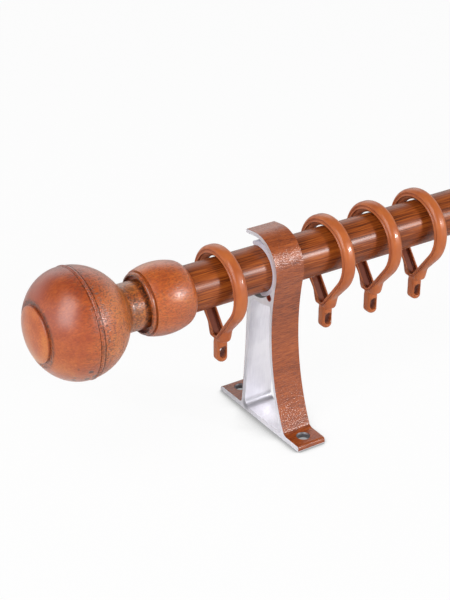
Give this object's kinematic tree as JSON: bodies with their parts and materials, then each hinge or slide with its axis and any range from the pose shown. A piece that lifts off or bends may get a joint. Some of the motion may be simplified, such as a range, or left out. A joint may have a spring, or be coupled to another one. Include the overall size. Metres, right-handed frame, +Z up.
{
  "type": "curtain rod with brackets",
  "caption": "Wood-grain curtain rod with turned ball finials, lying in hook brackets of extruded aluminium, with moulded curtain rings that slide along it.",
  "frame": {"origin": "on the floor, midway between the brackets and under the middle of their bases", "axes": "+X along the rod to the right, +Y from the front of the brackets to the open side of their hooks, +Z up from the bases"},
  "size_m": [0.9448, 0.0838, 0.1336],
  "materials": {
    "aluminium": "satin",
    "bracket_film": "wood grain, semi-gloss",
    "rod_film": "wood grain, gloss",
    "liner_plastic": "matte",
    "ring_plastic": "semi-gloss",
    "glide_plastic": "matte",
    "stained_wood": "satin lacquer",
    "screw_steel": "zinc plated"
  },
  "bodies": {
    "brackets": {"bracket_left": "aluminium", "bracket_film_front_left": "bracket_film", "bracket_film_back_left": "bracket_film", "hook_liner_left": "liner_plastic", "bracket_right": "aluminium", "bracket_film_front_right": "bracket_film", "bracket_film_back_right": "bracket_film", "hook_liner_right": "liner_plastic"},
    "rod": {"rod_tube": "aluminium", "rod_film": "rod_film"},
    "curtain_ring_1": {"ring_1": "ring_plastic", "ring_glide_1": "glide_plastic"},
    "curtain_ring_2": {"ring_2": "ring_plastic", "ring_glide_2": "glide_plastic"},
    "curtain_ring_3": {"ring_3": "ring_plastic", "ring_glide_3": "glide_plastic"},
    "curtain_ring_4": {"ring_4": "ring_plastic", "ring_glide_4": "glide_plastic"},
    "curtain_ring_5": {"ring_5": "ring_plastic", "ring_glide_5": "glide_plastic"},
    "curtain_ring_6": {"ring_6": "ring_plastic", "ring_glide_6": "glide_plastic"},
    "curtain_ring_7": {"ring_7": "ring_plastic", "ring_glide_7": "glide_plastic"},
    "curtain_ring_8": {"ring_8": "ring_plastic", "ring_glide_8": "glide_plastic"},
    "finial_left": {"finial_knob_left": "stained_wood", "finial_collar_left": "stained_wood", "finial_screw_left": "screw_steel"},
    "finial_right": {"finial_knob_right": "stained_wood", "finial_collar_right": "stained_wood", "finial_screw_right": "screw_steel"}
  },
  "joints": [
    {"name": "rod_lift_out", "type": "slide", "parent": "brackets", "child": "rod", "axis": [0, 0.9511, -0.309], "range_m": [0, 0.045]},
    {"name": "ring_1_slide", "type": "slide", "parent": "rod", "child": "curtain_ring_1", "axis": [1, 0, 0], "range_m": [-0.0198, 0.0213]},
    {"name": "ring_2_slide", "type": "slide", "parent": "rod", "child": "curtain_ring_2", "axis": [1, 0, 0], "range_m": [-0.0254, 0.0127]},
    {"name": "ring_3_slide", "type": "slide", "parent": "rod", "child": "curtain_ring_3", "axis": [1, 0, 0], "range_m": [-0.0127, 0.0128]},
    {"name": "ring_4_slide", "type": "slide", "parent": "rod", "child": "curtain_ring_4", "axis": [1, 0, 0], "range_m": [-0.0128, 0.2032]},
    {"name": "ring_5_slide", "type": "slide", "parent": "rod", "child": "curtain_ring_5", "axis": [1, 0, 0], "range_m": [-0.2032, 0.0128]},
    {"name": "ring_6_slide", "type": "slide", "parent": "rod", "child": "curtain_ring_6", "axis": [1, 0, 0], "range_m": [-0.0128, 0.0127]},
    {"name": "ring_7_slide", "type": "slide", "parent": "rod", "child": "curtain_ring_7", "axis": [1, 0, 0], "range_m": [-0.0127, 0.0254]},
    {"name": "ring_8_slide", "type": "slide", "parent": "rod", "child": "curtain_ring_8", "axis": [1, 0, 0], "range_m": [-0.0213, 0.0198]},
    {"name": "finial_left_pull_off", "type": "slide", "parent": "rod", "child": "finial_left", "axis": [-1, 0, 0], "range_m": [0, 0.03]},
    {"name": "finial_right_pull_off", "type": "slide", "parent": "rod", "child": "finial_right", "axis": [1, 0, 0], "range_m": [0, 0.03]}
  ]
}
